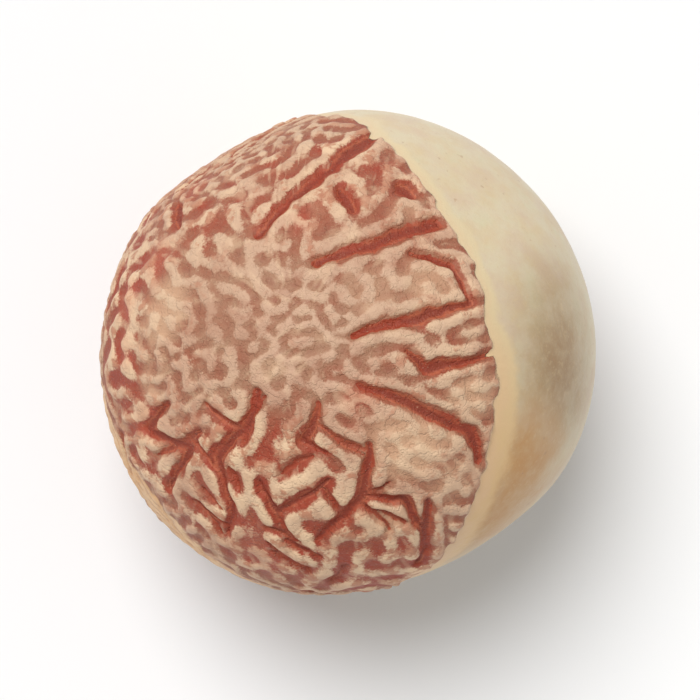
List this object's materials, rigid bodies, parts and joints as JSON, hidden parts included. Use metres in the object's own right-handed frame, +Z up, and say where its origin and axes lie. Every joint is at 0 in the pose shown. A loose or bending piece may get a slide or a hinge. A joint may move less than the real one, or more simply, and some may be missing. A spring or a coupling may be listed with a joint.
{
  "type": "euryale seed",
  "caption": "Whole dried euryale seed: a nearly round starchy seed with a wrinkled brown coat, a smooth pale cap with a sunken hilum, and a small flat spot to rest on.",
  "frame": {"origin": "on the resting surface, under the middle of the seed's bounding box", "axes": "+Z is up, square to the flat resting spot. +X is the side that the pale cap faces when seen from above, and +Y is the top of the picture"},
  "size_m": [0.0074, 0.0072, 0.0073],
  "materials": {
    "seed_surface": "dull dry seed coat, pinkish tan wrinkles over brick red furrows, with a smooth waxy cream cap"
  },
  "bodies": {
    "root": {"seed": "seed_surface"}
  },
  "joints": []
}
